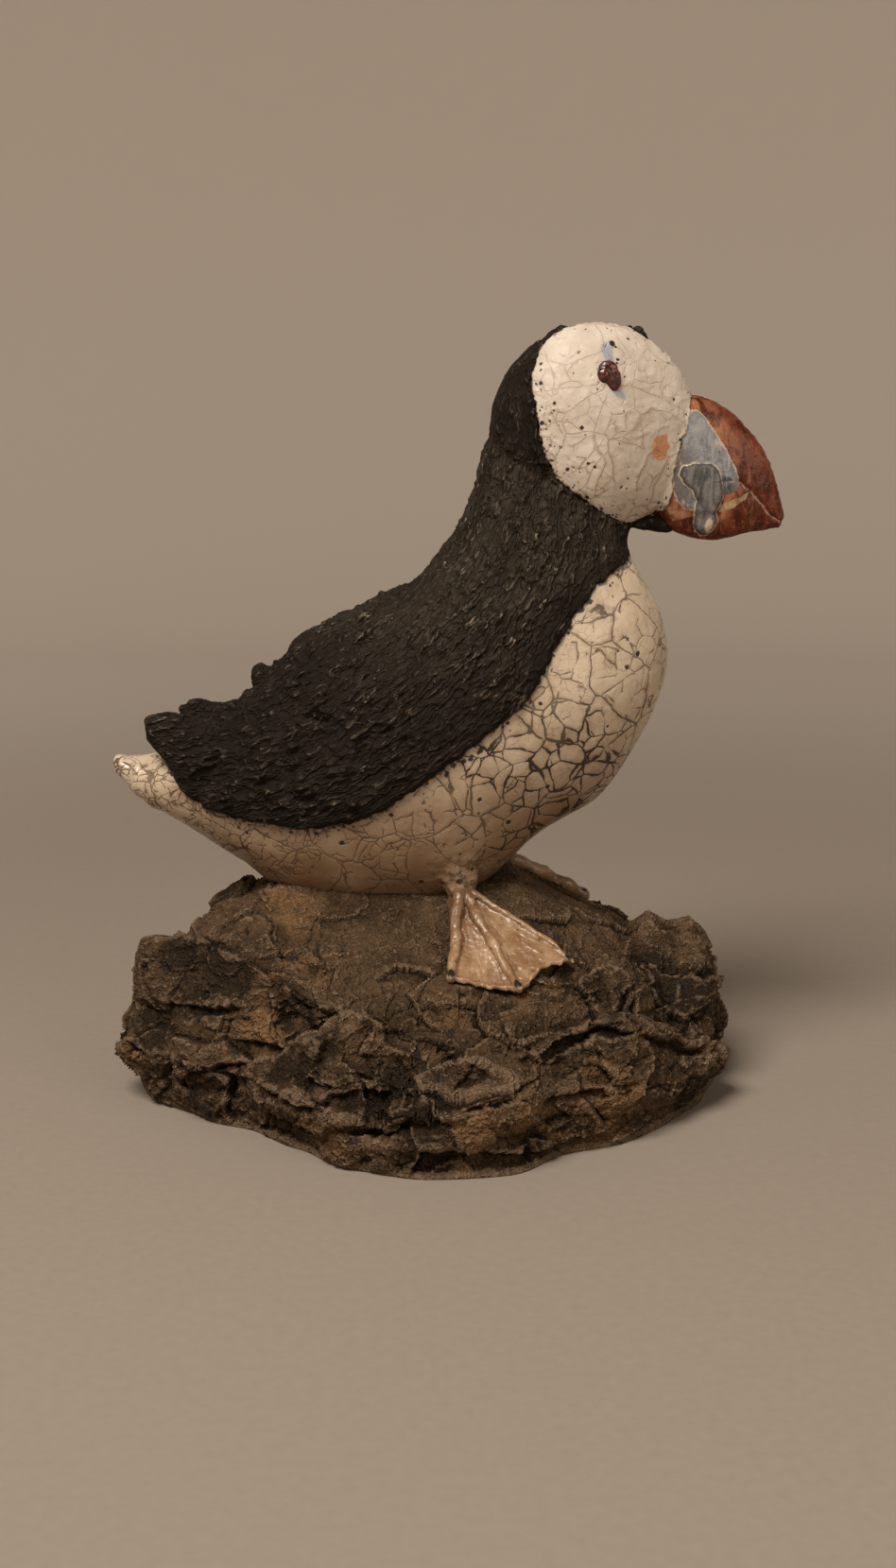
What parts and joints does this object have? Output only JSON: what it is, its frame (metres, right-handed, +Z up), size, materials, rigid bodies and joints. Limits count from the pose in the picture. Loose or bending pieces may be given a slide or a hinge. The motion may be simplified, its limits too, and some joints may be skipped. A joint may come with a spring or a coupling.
{
  "type": "puffin sculpture",
  "caption": "Life-size raku puffin seated on a rough clay rock, feet spread on the slope, bill level, resting on the rock's flat underside.",
  "frame": {"origin": "centre of the rock's flat underside", "axes": "+X towards the bill, +Y to the bird's left, +Z up"},
  "size_m": [0.2662, 0.2224, 0.3032],
  "materials": {
    "raku_glaze": "cream crackle glaze with smoked cracks on breast, tail and face; bare black smoked clay on back, wings and hood; iron-red and grey-blue glaze on the bill; tan glaze on the feet",
    "rock_clay": "coarse matt dark brown fired clay with ochre patches and small blue-black glassy spots"
  },
  "bodies": {
    "root": {"puffin": "raku_glaze", "rock": "rock_clay"}
  },
  "joints": []
}
